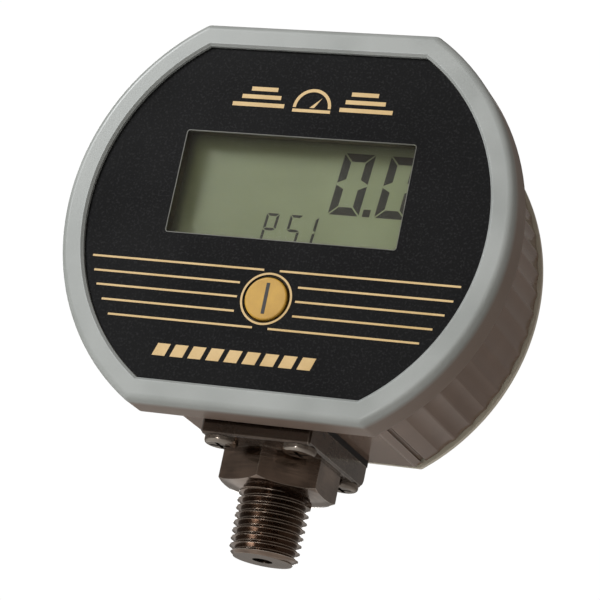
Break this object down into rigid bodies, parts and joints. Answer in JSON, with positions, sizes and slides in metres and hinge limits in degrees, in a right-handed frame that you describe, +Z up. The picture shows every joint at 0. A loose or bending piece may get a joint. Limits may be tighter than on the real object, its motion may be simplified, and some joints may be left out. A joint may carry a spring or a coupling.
{
  "type": "digital pressure gauge",
  "caption": "Battery-powered digital pressure gauge: round flat-sided face with recessed display and push button, sensor flange and tapered male pipe thread below.",
  "frame": {"origin": "mouth of the pressure port, at the tip of the tapered pipe thread, on the thread's axis", "axes": "+Z up along the thread's axis into the gauge, -Y out of the face towards the reader, +X to the reader's right"},
  "size_m": [0.086, 0.0419, 0.0942],
  "materials": {
    "bezel_grey": "satin",
    "label_print": "fine texture",
    "window_clear": "clear",
    "body_plastic": "semi-gloss",
    "inner_plastic": "matt",
    "seal_rubber": "matt",
    "display_cell": "polariser film",
    "button_gold": "satin",
    "board_green": "solder mask",
    "chip_black": "moulded",
    "screw_steel": "bright",
    "spring_steel": "plated",
    "flange_steel": "machined",
    "cell_jacket": "printed sleeve",
    "lead_insulation": "extruded"
  },
  "bodies": {
    "gauge": {"bezel": "bezel_grey", "face_label": "label_print", "display_window": "window_clear", "face_plate": "inner_plastic", "face_gasket": "seal_rubber", "display_glass": "display_cell", "display_reflector": "spring_steel", "display_frame": "inner_plastic", "contact_strips": "seal_rubber", "circuit_board": "board_green", "board_chips": "chip_black", "board_screws": "screw_steel", "switch_body": "chip_black", "switch_dome": "spring_steel", "body_shell": "body_plastic", "rear_gasket": "seal_rubber", "rear_cover": "body_plastic", "rear_cover_screws": "screw_steel", "battery_holder": "inner_plastic", "battery_cell_lower": "cell_jacket", "battery_cell_upper": "cell_jacket", "battery_contact_plates": "spring_steel", "battery_contact_springs": "spring_steel", "sensor_gasket": "seal_rubber", "sensor_flange": "flange_steel", "sensor_flange_screws": "screw_steel", "pressure_fitting": "flange_steel", "fitting_o_ring": "seal_rubber", "retaining_nut": "flange_steel", "sensor_cell": "flange_steel", "sensor_board": "board_green", "sensor_leads": "lead_insulation"},
    "button": {"button_cap": "button_gold", "switch_plunger": "chip_black"}
  },
  "joints": [
    {"name": "button_press", "type": "slide", "parent": "gauge", "child": "button", "axis": [0, 1, 0], "range_m": [0, 0.00035], "stiffness_N_per_m": 800}
  ]
}
